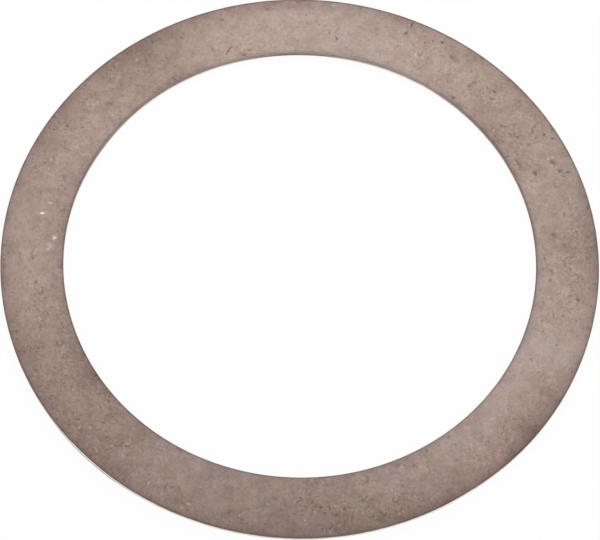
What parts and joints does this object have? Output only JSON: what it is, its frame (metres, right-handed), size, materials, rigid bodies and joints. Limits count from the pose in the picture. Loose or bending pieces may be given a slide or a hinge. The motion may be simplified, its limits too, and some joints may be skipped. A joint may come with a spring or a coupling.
{
  "type": "shim ring",
  "caption": "Thin flat steel ring with a large central bore, laid between a shoulder and a bearing or gear to take up end play.",
  "frame": {"origin": "on the ring's axis at its lower face, the one that the punch left", "axes": "+Z along the ring's axis, towards the upper face; X and Y lie in the lower face"},
  "size_m": [0.0798, 0.0798, 0.001],
  "materials": {
    "steel": "cold-rolled, tumbled and lightly oxidised, satin warm grey-brown with fine mottling and small dark pits; punched edges brighter"
  },
  "bodies": {
    "root": {"shim_ring": "steel"}
  },
  "joints": []
}
